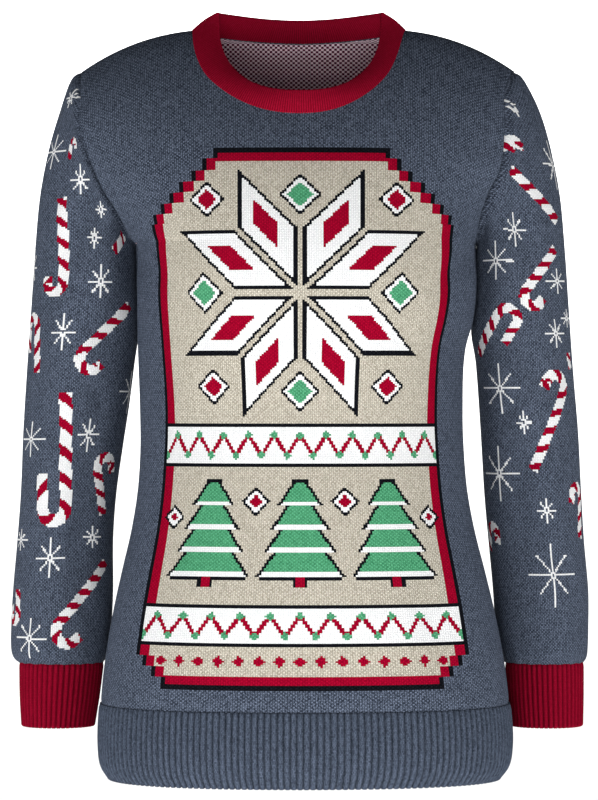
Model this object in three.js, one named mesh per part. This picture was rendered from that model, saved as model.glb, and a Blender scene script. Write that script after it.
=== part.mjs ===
// Christmas sweater: a crew-neck pullover with set-in sleeves, worn and hollow.
// Millimetres, +Z up. The front faces -Y and the wearer's left is at +X.
// The origin is level with the shoulder seams where they meet the neckband.
import * as THREE from "three";

// Cloth
const CLOTH_WALL = 2.4;
const RIB_WALL = 2.6;
const RIB_RELIEF = 0.9;
const NECKBAND_WALL = 3.4;
const NECKBAND_RELIEF = 0.5;
const SEAM_GAP = 0.4;
// The neckband and the sleeves meet the panels at an angle, so their walls start a little further off
const BAND_SEAM_GAP = 1.3;
const SLEEVE_SEAM_GAP = 1.2;

// Ribs, from their pitch in the photo of 5.6 mm at the hem and of 5 mm at a cuff
const HEM_RIBS = 84;
const CUFF_RIBS = 46;
const NECKBAND_RIBS = 100;

// Heights below the shoulder seam at the neck
const HEM_SEAM = 594;
const HEM_END = 659;
const CUFF_SEAM = 560;
const CUFF_END = 616;

// Neckline, as cut in the panels
const NECK_SHARE = 0.37;
const NECK_ROUNDNESS = { front: 2.2, back: 1.7 };
const FRONT_NECK_DROP = 80;
const BACK_NECK_DROP = 10;

// Shoulders
const SHOULDER_FLAT_SHARE = 0.32;
const SHOULDER_CURVE = 2.4;
const SECTION_SQUARENESS = 0.04;
const SHOULDER_SECTION_ANGLE = THREE.MathUtils.degToRad(62);
const SHOULDER_SECTION_END = 40;
const CHEST_SECTION_START = 110;

// Armhole, an oval that leans inwards at the underarm
const ARMHOLE_TOP = 38;
const UNDERARM = 190;
const ARMHOLE_FRONT = 48;
const ARMHOLE_BACK = 52;
// How far out the armhole seam runs, by the turn from its top (0) to the underarm (180).
// The right half is x + lean, the left half x - lean.
const ARMHOLE_REACH = [
  { turn: 0, x: 191, lean: -1.5 },
  { turn: 45, x: 185, lean: -6.5 },
  { turn: 75, x: 185, lean: -6.8 },
  { turn: 100, x: 177.5, lean: -3.2 },
  { turn: 115, x: 168.5, lean: -3.2 },
  { turn: 130, x: 160, lean: -1 },
  { turn: 150, x: 154, lean: 2 },
  { turn: 180, x: 150, lean: 5 },
];

// How far the body stands forward and back of the shoulder line, by the drop below it
const BODY_DEPTH = [
  { drop: 0, front: 0, back: 0 },
  { drop: 12, front: 17, back: 34 },
  { drop: 30, front: 36, back: 55 },
  { drop: 60, front: 62, back: 76 },
  { drop: 100, front: 88, back: 90 },
  { drop: 150, front: 108, back: 98 },
  { drop: 210, front: 118, back: 99 },
  { drop: 280, front: 108, back: 91 },
  { drop: 350, front: 98, back: 87 },
  { drop: 430, front: 102, back: 95 },
  { drop: 510, front: 111, back: 109 },
  { drop: 594, front: 116, back: 114 },
  { drop: 640, front: 115, back: 113 },
  { drop: 659, front: 107, back: 105 },
];

// Half width of the body below the underarm, and how far the right side stands out more
const BODY_WIDTH = [
  { drop: 190, x: 150, lean: 5 },
  { drop: 230, x: 149.5, lean: 6 },
  { drop: 256, x: 148, lean: 4.7 },
  { drop: 283, x: 144.2, lean: 1.5 },
  { drop: 336, x: 142, lean: 1.2 },
  { drop: 371, x: 142.3, lean: 1.8 },
  { drop: 407, x: 145, lean: 2.2 },
  { drop: 442, x: 151, lean: 2.6 },
  { drop: 477, x: 159.5, lean: 3 },
  { drop: 512, x: 167.5, lean: 3.4 },
  { drop: 560, x: 176, lean: 4 },
  { drop: 594, x: 179.5, lean: 4.3 },
  { drop: 632, x: 181, lean: 4.6 },
  { drop: 649, x: 178, lean: 4.2 },
  { drop: 659, x: 171, lean: 3.6 },
];

// Sleeve sections from the armhole to the cuff: the outer and the inner point of each,
// how far the right one is moved out, the middle's place in Y and the reach to each side of it
const SLEEVE_SECTIONS = [
  { outX: 191, outZ: -38, outLean: -1.5, inX: 150, inZ: -190, inLean: 5, y: 0, front: 48, back: 52 },
  { outX: 200, outZ: -47, outLean: -2, inX: 153, inZ: -192, inLean: 5.5, y: 1, front: 52, back: 53 },
  { outX: 212, outZ: -74, outLean: 0, inX: 151.4, inZ: -204, inLean: 5.3, y: 8, front: 55, back: 56 },
  { outX: 222, outZ: -107, outLean: 0, inX: 149.9, inZ: -221, inLean: 5.2, y: 14, front: 57, back: 56 },
  { outX: 230, outZ: -148, outLean: 0, inX: 148.3, inZ: -241, inLean: 5.2, y: 18, front: 57, back: 55 },
  { outX: 234.5, outZ: -195, outLean: 0, inX: 147.1, inZ: -267, inLean: 4.4, y: 21, front: 55, back: 54 },
  { outX: 238, outZ: -245, outLean: 0, inX: 151, inZ: -294, inLean: 4.6, y: 23, front: 52, back: 52 },
  { outX: 242, outZ: -301, outLean: 0, inX: 154.8, inZ: -330, inLean: 3.7, y: 25, front: 49, back: 49 },
  { outX: 246, outZ: -355, outLean: 0.6, inX: 159, inZ: -368, inLean: 2, y: 27, front: 47, back: 47 },
  { outX: 248.4, outZ: -407, outLean: 0.9, inX: 163.3, inZ: -411, inLean: 0.3, y: 28, front: 45, back: 45 },
  { outX: 251.5, outZ: -452, outLean: 0.6, inX: 166.6, inZ: -452, inLean: 0.7, y: 30, front: 44, back: 44 },
  { outX: 255.3, outZ: -495, outLean: 0.6, inX: 168.6, inZ: -495, inLean: 2.7, y: 31, front: 43, back: 43 },
  { outX: 256.3, outZ: -528, outLean: -0.2, inX: 170.5, inZ: -528, inLean: 3, y: 32, front: 42, back: 42 },
  { outX: 256, outZ: -548, outLean: -0.6, inX: 173.5, inZ: -548, inLean: 3.5, y: 32, front: 41, back: 41 },
  { outX: 254, outZ: -556, outLean: 0, inX: 176, inZ: -556, inLean: 3.5, y: 32, front: 38.5, back: 38.5 },
  { outX: 250, outZ: -560, outLean: 1, inX: 178.5, inZ: -560, inLean: 3.5, y: 32, front: 35.5, back: 35.5 },
];
// How much of the armhole's own bend each of the first sleeve sections keeps
const ARMHOLE_BEND_KEPT = [1, 0.7, 0.35, 0.1];

// Cuff sections, from the seam to the open end
const CUFF_SECTIONS = [
  { share: 0, outX: 249.4, outLean: 1.3, inX: 179.5, inLean: 4, reach: 34.5 },
  { share: 0.5, outX: 249.2, outLean: 1.5, inX: 182, inLean: 3, reach: 33.5 },
  { share: 1, outX: 248.2, outLean: 2, inX: 185.5, inLean: 2, reach: 31.5 },
];
const CUFF_Y = 32;

// Soft folds pressed into the body: the middle, the tilt from upright, half sizes and depth
const BODY_FOLDS = [
  { face: "front", x: 132, z: -285, tilt: 6, halfLength: 105, halfWidth: 16, depth: 3.5 },
  { face: "front", x: -126, z: -300, tilt: -8, halfLength: 95, halfWidth: 15, depth: 3 },
  { face: "front", x: 138, z: -212, tilt: 48, halfLength: 42, halfWidth: 11, depth: 3 },
  { face: "front", x: -140, z: -206, tilt: -50, halfLength: 44, halfWidth: 11, depth: 3 },
  { face: "front", x: 118, z: -520, tilt: -18, halfLength: 80, halfWidth: 18, depth: 2.5 },
  { face: "back", x: 10, z: -330, tilt: 84, halfLength: 110, halfWidth: 14, depth: 3.5 },
  { face: "back", x: -20, z: -372, tilt: 97, halfLength: 95, halfWidth: 13, depth: 3 },
  { face: "back", x: 120, z: -250, tilt: 20, halfLength: 80, halfWidth: 15, depth: 3 },
  { face: "back", x: -124, z: -262, tilt: -16, halfLength: 88, halfWidth: 15, depth: 3 },
];

// Soft folds pressed into the sleeves: the turn runs from the outer edge (0) over the front (90)
const SLEEVE_FOLDS = [
  { side: -1, z: -165, turn: 95, tilt: 26, halfLength: 62, halfWidth: 14, depth: 4 },
  { side: -1, z: -262, turn: 120, tilt: 38, halfLength: 46, halfWidth: 12, depth: 3.5 },
  { side: -1, z: -352, turn: 70, tilt: -48, halfLength: 50, halfWidth: 13, depth: 3 },
  { side: -1, z: -452, turn: 105, tilt: 34, halfLength: 48, halfWidth: 12, depth: 2.5 },
  { side: -1, z: -300, turn: 265, tilt: 40, halfLength: 60, halfWidth: 14, depth: 3.5 },
  { side: 1, z: -178, turn: 100, tilt: 30, halfLength: 58, halfWidth: 13, depth: 3.5 },
  { side: 1, z: -292, turn: 96, tilt: 46, halfLength: 52, halfWidth: 13, depth: 4 },
  { side: 1, z: -372, turn: 84, tilt: -42, halfLength: 52, halfWidth: 12, depth: 3 },
  { side: 1, z: -470, turn: 70, tilt: 38, halfLength: 46, halfWidth: 12, depth: 2.5 },
  { side: 1, z: -318, turn: 262, tilt: 36, halfLength: 62, halfWidth: 14, depth: 3.5 },
];

// Top edge of the neckband: an egg-shaped ring round the neck, low in front and a little lower at the back
// How late the band's upper edge dips towards the middle of the back
const BACK_DIP_POWER = 2.4;
const BAND_TOP = { halfWidth: 72, front: 74, back: 27, up: 14.5, backDown: 4.5, frontDown: 59 };
const BAND_BULGE = 1.2;

// Mesh steps
const NECK_STEPS = 7;
const SHOULDER_STEPS = 5;
const ARMHOLE_STEPS = 10;
const BODY_STEPS = 9;
const BODY_STEP_GROWTH = 1.3;
const HEM_RIB_ROWS = [0, 36, 53, HEM_END - HEM_SEAM];
const NECKBAND_ROWS = [1, 0.6, 0.25, 0];
// Rows over which a fold fades out towards a piece's edges
const FOLD_FADE = { side: 2, top: 3, sleeve: 3 };
// Turn of the armhole over which its wall changes from square to the seam to the cloth's own
const UNDERARM_TURN_START = Math.PI / 2;
const UNDERARM_TURN_END = 0.85 * Math.PI;

// Value of one column at a place along a table, on a smooth curve through its rows
function along(table, key, column, at) {
  const last = table.length - 1;
  const place = THREE.MathUtils.clamp(at, table[0][key], table[last][key]);
  let i = 0;
  while (i < last - 1 && table[i + 1][key] < place) i += 1;
  const slope = (j) => (table[j + 1][column] - table[j][column]) / (table[j + 1][key] - table[j][key]);
  const here = slope(i);
  const start = i > 0 ? (slope(i - 1) + here) / 2 : here;
  const end = i < last - 1 ? (here + slope(i + 1)) / 2 : here;
  const span = table[i + 1][key] - table[i][key];
  const t = (place - table[i][key]) / span;
  const rise = t * t * (3 - 2 * t);
  const startPart = t * (1 - t) * (1 - t) * span * start;
  const endPart = t * t * (t - 1) * span * end;
  return table[i][column] * (1 - rise) + table[i + 1][column] * rise + startPart + endPart;
}

function smoothStep(from, to, at) {
  const t = THREE.MathUtils.clamp((at - from) / (to - from), 0, 1);
  return t * t * (3 - 2 * t);
}

// How far a soft fold presses in at a place that is across and up from its middle
function pressedIn(fold, across, up) {
  const tilt = THREE.MathUtils.degToRad(fold.tilt);
  const lengthwise = (up * Math.cos(tilt) + across * Math.sin(tilt)) / fold.halfLength;
  const sideways = (across * Math.cos(tilt) - up * Math.sin(tilt)) / fold.halfWidth;
  const fade = Math.max(0, 1 - lengthwise * lengthwise);
  return fold.depth * Math.exp(-sideways * sideways) * fade * fade;
}

// Half of a section's width at a share of the way from its middle to its edge
function widthShare(share, edgeAngle) {
  const reach = (angle) => Math.sin(angle) + SECTION_SQUARENESS * Math.sin(3 * angle);
  return reach(share * edgeAngle) / reach(edgeAngle);
}

function depthShare(share, edgeAngle) {
  return (Math.cos(share * edgeAngle) - Math.cos(edgeAngle)) / (1 - Math.cos(edgeAngle));
}

// Armhole seam at a turn from its top; side is 1 at +X, and y is how far the oval reaches
function armholePoint(side, turn, y) {
  const degrees = THREE.MathUtils.radToDeg(turn);
  const middle = (ARMHOLE_TOP + UNDERARM) / 2;
  const half = (UNDERARM - ARMHOLE_TOP) / 2;
  const x = along(ARMHOLE_REACH, "turn", "x", degrees) * side;
  const lean = along(ARMHOLE_REACH, "turn", "lean", degrees);
  return new THREE.Vector3(x + lean, y * Math.sin(turn), half * Math.cos(turn) - middle);
}

// Where a row of the body meets its side: on the armhole above the underarm, on the side seam below
function rowEdge(face, side, drop) {
  if (drop >= UNDERARM) {
    const x = side * along(BODY_WIDTH, "drop", "x", drop) + along(BODY_WIDTH, "drop", "lean", drop);
    return new THREE.Vector3(x, 0, -drop);
  }
  const half = (UNDERARM - ARMHOLE_TOP) / 2;
  const edgeDrop = ARMHOLE_TOP + (drop * (UNDERARM - ARMHOLE_TOP)) / UNDERARM;
  const turn = Math.acos(THREE.MathUtils.clamp(((ARMHOLE_TOP + UNDERARM) / 2 - edgeDrop) / half, -1, 1));
  return armholePoint(side, turn, face === "front" ? -ARMHOLE_FRONT : ARMHOLE_BACK);
}

// A point of the body: drop is measured at the middle, share runs from -1 at the right side to 1
function bodyPoint(face, drop, share) {
  const side = share < 0 ? -1 : 1;
  const edge = rowEdge(face, side, drop);
  const forward = face === "front" ? -1 : 1;
  const middleY = forward * along(BODY_DEPTH, "drop", face, drop);
  const chest = smoothStep(SHOULDER_SECTION_END, CHEST_SECTION_START, drop);
  const ovalAngle = chest > 0 ? Math.acos(THREE.MathUtils.clamp(edge.y / middleY, 0, 1)) : 0;
  const edgeAngle = THREE.MathUtils.lerp(SHOULDER_SECTION_ANGLE, ovalAngle, chest);
  const across = widthShare(Math.abs(share), edgeAngle);
  const y = edge.y + (middleY - edge.y) * depthShare(Math.abs(share), edgeAngle);
  const bend = Math.max(0, (across - SHOULDER_FLAT_SHARE) / (1 - SHOULDER_FLAT_SHARE));
  const z = -drop + (edge.z + drop) * bend ** SHOULDER_CURVE;
  return new THREE.Vector3(edge.x * across, y + forward * SEAM_GAP * 0.5, z);
}

// Drop of a panel's top edge: the neckline near the middle, the shoulder seam beyond it
function topDrop(face, share) {
  if (Math.abs(share) >= NECK_SHARE) return 0;
  const deepest = face === "front" ? FRONT_NECK_DROP : BACK_NECK_DROP;
  const across = widthShare(Math.abs(share), SHOULDER_SECTION_ANGLE);
  const neck = widthShare(NECK_SHARE, SHOULDER_SECTION_ANGLE);
  const roundness = NECK_ROUNDNESS[face];
  return deepest * (1 - (across / neck) ** roundness) ** (1 / roundness);
}

// Shares across a panel, closer together where the neckline turns up
function panelShares() {
  const half = [];
  for (let i = 0; i <= NECK_STEPS; i += 1) {
    half.push(NECK_SHARE * Math.sin((i / NECK_STEPS) * (Math.PI / 2)));
  }
  for (let i = 1; i <= SHOULDER_STEPS; i += 1) {
    half.push(NECK_SHARE + ((1 - NECK_SHARE) * i) / SHOULDER_STEPS);
  }
  const mirrored = half.slice(1).map((share) => -share);
  return [...mirrored.reverse(), ...half];
}

// Drops of a panel's rows for a column whose top edge is at the given drop
function panelDrops(top) {
  const drops = [];
  for (let i = 0; i <= ARMHOLE_STEPS; i += 1) {
    const turn = (i / ARMHOLE_STEPS) * Math.PI;
    const rowDrop = (UNDERARM * (1 - Math.cos(turn))) / 2;
    drops.push(top + ((UNDERARM - top) * rowDrop) / UNDERARM);
  }
  const end = HEM_SEAM - SEAM_GAP / 2;
  for (let i = 1; i <= BODY_STEPS; i += 1) {
    drops.push(UNDERARM + (end - UNDERARM) * (i / BODY_STEPS) ** BODY_STEP_GROWTH);
  }
  return drops;
}

// Outward normals of a grid whose rows run down and whose columns run to the viewer's right
function gridNormals(rows, closed) {
  return rows.map((row, i) =>
    row.map((point, j) => {
      const below = rows[Math.min(i + 1, rows.length - 1)][j];
      const above = rows[Math.max(i - 1, 0)][j];
      const count = row.length;
      const right = closed ? row[(j + 1) % count] : row[Math.min(j + 1, count - 1)];
      const left = closed ? row[(j + count - 1) % count] : row[Math.max(j - 1, 0)];
      const down = new THREE.Vector3().subVectors(below, above);
      const across = new THREE.Vector3().subVectors(right, left);
      return down.cross(across).normalize();
    }),
  );
}

function moved(rows, normals, distance) {
  const move = (point, i, j) => point.clone().addScaledVector(normals[i][j], distance(i, j));
  return rows.map((row, i) => row.map((point, j) => move(point, i, j)));
}

// Closed mesh of a wall from its outer and inner grids. The inner grid may have half the columns.
function wallMesh(name, outer, inner, closed, material) {
  const positions = [];
  const indices = [];
  const add = (rows) => rows.map((row) => row.map((point) => positions.push(...point.toArray()) / 3 - 1));
  const outside = add(outer);
  const inside = add(inner);
  const segments = (row) => (closed ? row.length : row.length - 1);
  const at = (row, j) => row[j % row.length];
  const quad = (a, b, c, d) => indices.push(a, b, c, a, c, d);
  const skin = (rows, outward) => {
    for (let i = 0; i < rows.length - 1; i += 1) {
      for (let j = 0; j < segments(rows[i]); j += 1) {
        const corners = [at(rows[i], j), at(rows[i + 1], j), at(rows[i + 1], j + 1), at(rows[i], j + 1)];
        if (!outward) corners.reverse();
        quad(...corners);
      }
    }
  };
  const rim = (outerRow, innerRow, upward) => {
    const ratio = segments(outerRow) / segments(innerRow);
    const face = (a, b, c) => (upward ? indices.push(a, b, c) : indices.push(a, c, b));
    for (let j = 0; j < segments(innerRow); j += 1) {
      const middle = Math.ceil(ratio / 2);
      for (let k = 0; k < middle; k += 1) {
        face(at(outerRow, ratio * j + k), at(outerRow, ratio * j + k + 1), at(innerRow, j));
      }
      face(at(outerRow, ratio * j + middle), at(innerRow, j + 1), at(innerRow, j));
      for (let k = middle; k < ratio; k += 1) {
        face(at(outerRow, ratio * j + k), at(outerRow, ratio * j + k + 1), at(innerRow, j + 1));
      }
    }
  };
  skin(outside, true);
  skin(inside, false);
  rim(outside[0], inside[0], true);
  rim(outside.at(-1), inside.at(-1), false);
  if (!closed) {
    const innerRowAt = (i) => inside[Math.round((i * (inside.length - 1)) / (outside.length - 1))];
    for (let i = 0; i < outside.length - 1; i += 1) {
      quad(outside[i + 1][0], outside[i][0], innerRowAt(i)[0], innerRowAt(i + 1)[0]);
      quad(outside[i].at(-1), outside[i + 1].at(-1), innerRowAt(i + 1).at(-1), innerRowAt(i).at(-1));
    }
  }
  const geometry = new THREE.BufferGeometry();
  geometry.setAttribute("position", new THREE.Float32BufferAttribute(positions, 3));
  geometry.setIndex(indices);
  geometry.computeVertexNormals();
  const mesh = new THREE.Mesh(geometry, material);
  mesh.name = name;
  return mesh;
}

function yarn(name, color) {
  const material = new THREE.MeshStandardMaterial({ color, roughness: 0.9, metalness: 0 });
  material.name = name;
  return material;
}

// Where two pieces meet edge to edge, both walls are cut square to the seam
function flatten(normal, axis) {
  normal[axis] = 0;
  return normal.normalize();
}

// The wall at an armhole turns from square to the armhole at its top to the cloth's own at the underarm
function armholeNormal(own, face, drop) {
  const turn = Math.acos(1 - (2 * drop) / UNDERARM);
  const forward = face === "front" ? -1 : 1;
  const square = new THREE.Vector3(0, forward * Math.sin(turn), Math.cos(turn));
  return square.lerp(own, smoothStep(UNDERARM_TURN_START, UNDERARM_TURN_END, turn)).normalize();
}

// Front or back of the body, from the shoulders and neckline to the hem rib
function bodyPanel(face) {
  const shares = panelShares();
  if (face === "back") shares.reverse();
  const rowsDown = panelDrops(0).length;
  const base = [];
  for (let i = 0; i < rowsDown; i += 1) {
    base.push(shares.map((share) => bodyPoint(face, panelDrops(topDrop(face, share))[i], share)));
  }
  const normals = gridNormals(base, false);
  const last = shares.length - 1;
  normals.forEach((row, i) => {
    row.forEach((normal, j) => {
      const onShoulder = i === 0 && Math.abs(shares[j]) >= NECK_SHARE;
      const onSide = j === 0 || j === last;
      if (onSide && i < ARMHOLE_STEPS) normal.copy(armholeNormal(normal, face, panelDrops(0)[i]));
      if (onShoulder || (onSide && i >= ARMHOLE_STEPS)) flatten(normal, "y");
      if (i === rowsDown - 1) flatten(normal, "z");
    });
  });
  const folds = BODY_FOLDS.filter((fold) => fold.face === face);
  const pressed = (i, j) => {
    const point = base[i][j];
    const fromSide = Math.min(j, last - j, rowsDown - 1 - i) / FOLD_FADE.side;
    const fade = Math.min(1, fromSide, i / FOLD_FADE.top);
    const add = (sum, fold) => sum + pressedIn(fold, point.x - fold.x, point.z - fold.z);
    return -fade * folds.reduce(add, 0);
  };
  const outer = moved(base, normals, pressed);
  return { outer, inner: moved(outer, normals, () => -CLOTH_WALL) };
}

// One ring of a sleeve, in the order that runs to the right when seen from outside
function sleeveRing(side, index) {
  const section = SLEEVE_SECTIONS[index];
  const outer = new THREE.Vector3(side * section.outX + section.outLean, section.y, section.outZ);
  const inner = new THREE.Vector3(side * section.inX + section.inLean, section.y, section.inZ);
  const bend = ARMHOLE_BEND_KEPT[index] ?? 0;
  const top = armholePoint(side, 0, 0);
  const bottom = armholePoint(side, Math.PI, 0);
  const ring = [];
  for (let j = 0; j < 2 * ARMHOLE_STEPS; j += 1) {
    const turn = (-side * j * Math.PI) / ARMHOLE_STEPS;
    const share = (1 + Math.cos(turn)) / 2;
    const forward = Math.sin(turn) > 0;
    const point = new THREE.Vector3().lerpVectors(inner, outer, share);
    const seam = armholePoint(side, Math.acos(Math.cos(turn)), 0);
    point.x += bend * (seam.x - THREE.MathUtils.lerp(bottom.x, top.x, share));
    point.y -= Math.sin(turn) * (forward ? section.front : section.back);
    ring.push(point);
  }
  return ring;
}

function sleeve(side) {
  const base = SLEEVE_SECTIONS.map((section, i) => sleeveRing(side, i));
  const next = base[1];
  base[0].forEach((point, j) => {
    const onward = new THREE.Vector3().subVectors(next[j], point).normalize();
    point.addScaledVector(onward, SLEEVE_SEAM_GAP);
  });
  base.at(-1).forEach((point) => (point.z += SEAM_GAP / 2));
  const normals = gridNormals(base, true);
  normals[0].forEach((normal, j) => {
    const turn = (-side * j * Math.PI) / ARMHOLE_STEPS;
    normal.set(0, -Math.sin(turn), Math.cos(turn));
  });
  normals.at(-1).forEach((normal) => flatten(normal, "z"));
  const folds = SLEEVE_FOLDS.filter((fold) => fold.side === side);
  const rings = base.length;
  const pressed = (i, j) => {
    const turn = THREE.MathUtils.euclideanModulo((-side * j * 180) / ARMHOLE_STEPS, 360);
    const fade = Math.min(1, i / FOLD_FADE.sleeve, (rings - 1 - i) / FOLD_FADE.sleeve);
    const radius = (SLEEVE_SECTIONS[i].front + SLEEVE_SECTIONS[i].back) / 2;
    const sum = folds.reduce((total, fold) => {
      const across = THREE.MathUtils.degToRad(turn - fold.turn) * radius;
      return total + pressedIn(fold, across, base[i][j].z - fold.z);
    }, 0);
    return -fade * sum;
  };
  const outer = moved(base, normals, pressed);
  return { outer, inner: moved(outer, normals, () => -CLOTH_WALL) };
}

// Ribbed wall: ribs stand on the outer grid, the inside is plain with half the columns
function ribbed(base, normals, wall, relief, closed) {
  const count = base[0].length;
  const crest = (j) => j % 2 === 1;
  const outer = moved(base, normals, (i, j) => (crest(j) ? relief : 0));
  const keptRows = [0, Math.ceil((base.length - 1) / 2), base.length - 1];
  const plain = moved(base, normals, () => -wall);
  const keptColumn = (point, j) => !crest(j) || (!closed && j === count - 1);
  const inner = keptRows.map((i) => plain[i].filter(keptColumn));
  return { outer, inner };
}

// Shares of the half width at places evenly spaced along the cloth, from the middle to the side
function evenShares(drop, count) {
  const steps = 400;
  const reached = [0];
  let last = bodyPoint("front", drop, 0);
  for (let i = 1; i <= steps; i += 1) {
    const point = bodyPoint("front", drop, i / steps);
    reached.push(reached[i - 1] + point.distanceTo(last));
    last = point;
  }
  const shares = [];
  let i = 0;
  for (let k = 0; k <= count; k += 1) {
    const at = (reached.at(-1) * k) / count;
    while (i < steps - 1 && reached[i + 1] < at) i += 1;
    shares.push(Math.min(1, (i + (at - reached[i]) / (reached[i + 1] - reached[i])) / steps));
  }
  return shares;
}

function hemRib(face) {
  const forward = face === "front" ? 1 : -1;
  const shares = evenShares((HEM_SEAM + HEM_END) / 2, HEM_RIBS);
  const base = HEM_RIB_ROWS.map((below) => {
    const drop = HEM_SEAM + Math.max(below, SEAM_GAP / 2);
    const row = [];
    for (let j = -HEM_RIBS; j <= HEM_RIBS; j += 1) {
      row.push(bodyPoint(face, drop, Math.sign(j) * forward * shares[Math.abs(j)]));
    }
    return row;
  });
  const normals = gridNormals(base, false);
  normals.forEach((row, i) => {
    flatten(row[0], "y");
    flatten(row.at(-1), "y");
    if (i === 0) row.forEach((normal) => flatten(normal, "z"));
  });
  return ribbed(base, normals, RIB_WALL, RIB_RELIEF, false);
}

function cuff(side) {
  const base = CUFF_SECTIONS.map((section) => {
    const outX = side * section.outX + section.outLean;
    const inX = side * section.inX + section.inLean;
    const z = -(CUFF_SEAM + SEAM_GAP / 2) - section.share * (CUFF_END - CUFF_SEAM);
    const row = [];
    for (let j = 0; j < 2 * CUFF_RIBS; j += 1) {
      const turn = (-side * j * Math.PI) / CUFF_RIBS;
      const x = (outX + inX) / 2 + ((outX - inX) / 2) * Math.cos(turn);
      row.push(new THREE.Vector3(x, CUFF_Y - section.reach * Math.sin(turn), z));
    }
    return row;
  });
  const normals = gridNormals(base, true);
  normals[0].forEach((normal) => flatten(normal, "z"));
  return ribbed(base, normals, RIB_WALL, RIB_RELIEF, true);
}

// A closed line of points, even along its length
function evenly(line, count) {
  const lengths = [0];
  const end = (i) => line[(i + 1) % line.length];
  line.forEach((point, i) => lengths.push(lengths[i] + point.distanceTo(end(i))));
  const points = [];
  let i = 0;
  for (let k = 0; k < count; k += 1) {
    const at = (lengths.at(-1) * k) / count;
    while (lengths[i + 1] < at) i += 1;
    const share = (at - lengths[i]) / (lengths[i + 1] - lengths[i]);
    points.push(new THREE.Vector3().lerpVectors(line[i], end(i), share));
  }
  return points;
}

// Neckband, sewn on along the very edge of the two panels
function neckband(front, back) {
  const atNeck = (face, row) => {
    const shares = panelShares();
    if (face === "back") shares.reverse();
    return row.filter((point, j) => topDrop(face, shares[j]) > 0 || Math.abs(shares[j]) === NECK_SHARE);
  };
  const seam = evenly([...atNeck("front", front[0]), ...atNeck("back", back[0])], 2 * NECKBAND_RIBS);
  const widest = (side) => Math.max(...seam.map((point) => side * point.x));
  const rise = seam.map((point) => {
    const side = Math.sign(point.x) || 1;
    const across = Math.min(1, (side * point.x) / widest(side));
    const middle = Math.sqrt(1 - across * across);
    const roundness = NECK_ROUNDNESS.front;
    const low = (1 - across ** roundness) ** (1 / roundness);
    const backUp = BAND_TOP.up - BAND_TOP.backDown * middle ** BACK_DIP_POWER;
    const top = new THREE.Vector3(side * BAND_TOP.halfWidth * across, BAND_TOP.back * middle, backUp);
    if (point.y < 0) {
      top.y = -BAND_TOP.front * middle;
      top.z = THREE.MathUtils.lerp(BAND_TOP.up, -BAND_TOP.frontDown, low);
    }
    return top.sub(point);
  });
  const base = NECKBAND_ROWS.map((share) =>
    seam.map((point, j) => {
      const length = rise[j].length();
      const start = BAND_SEAM_GAP / length;
      const placed = point.clone().addScaledVector(rise[j], start + share * (1 - start));
      const outward = new THREE.Vector3(-rise[j].x, -rise[j].y, 0).normalize();
      return placed.addScaledVector(outward, BAND_BULGE * Math.sin(Math.PI * share));
    }),
  );
  const normals = gridNormals(base, true);
  return ribbed(base, normals, NECKBAND_WALL, NECKBAND_RELIEF, true);
}

const SLATE = "#465063";
const RED = "#8b0f2a";

function build() {
  const sweater = new THREE.Group();
  sweater.name = "christmas_sweater";
  const add = (name, grids, closed, material) =>
    sweater.add(wallMesh(name, grids.outer, grids.inner, closed, material));
  const front = bodyPanel("front");
  const back = bodyPanel("back");
  add("front_panel", front, false, yarn("slate_jacquard", SLATE));
  add("back_panel", back, false, yarn("slate_jacquard", SLATE));
  add("sleeve_right", sleeve(-1), true, yarn("slate_jacquard", SLATE));
  add("sleeve_left", sleeve(1), true, yarn("slate_jacquard", SLATE));
  add("neckband", neckband(front.outer, back.outer), true, yarn("red_rib", RED));
  add("cuff_right", cuff(-1), true, yarn("red_rib", RED));
  add("cuff_left", cuff(1), true, yarn("red_rib", RED));
  add("hem_rib_front", hemRib("front"), false, yarn("slate_rib", SLATE));
  add("hem_rib_back", hemRib("back"), false, yarn("slate_rib", SLATE));
  return sweater;
}

export default build();
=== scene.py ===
# %% [markdown]
# # A christmas sweater, stitch by stitch
# A knitted sweater is a few flat pieces of knit sewn into tubes. Here every piece is a thin
# wall on the same form as its solid, worked out from the same sizes. The jacquard is real:
# each stitch is one face, and its yarn is one material, as on a knitting machine.

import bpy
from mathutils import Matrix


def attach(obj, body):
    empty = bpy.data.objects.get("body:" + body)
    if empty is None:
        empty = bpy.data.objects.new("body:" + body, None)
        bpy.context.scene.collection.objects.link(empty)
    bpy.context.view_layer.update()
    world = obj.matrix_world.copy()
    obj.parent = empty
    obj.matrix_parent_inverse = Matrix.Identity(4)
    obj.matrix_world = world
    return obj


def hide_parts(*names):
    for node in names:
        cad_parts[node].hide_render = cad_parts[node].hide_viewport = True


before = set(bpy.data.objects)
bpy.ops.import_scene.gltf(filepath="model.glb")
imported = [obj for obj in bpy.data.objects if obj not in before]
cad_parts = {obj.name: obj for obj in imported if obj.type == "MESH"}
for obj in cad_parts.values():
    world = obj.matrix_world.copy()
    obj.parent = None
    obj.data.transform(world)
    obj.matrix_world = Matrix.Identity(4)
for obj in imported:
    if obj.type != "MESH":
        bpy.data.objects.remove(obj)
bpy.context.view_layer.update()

import math

import bmesh
import bpy
import numpy as np

MM = 0.001

# %% [markdown]
# ## Sizes
# The driving sizes are those of the solids, in millimetres. The tables have a name for each
# column and a row for each section, and a smooth curve runs through their rows. That way a
# few measured sections give a form without any dents, and one number moves one thing.

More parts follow.
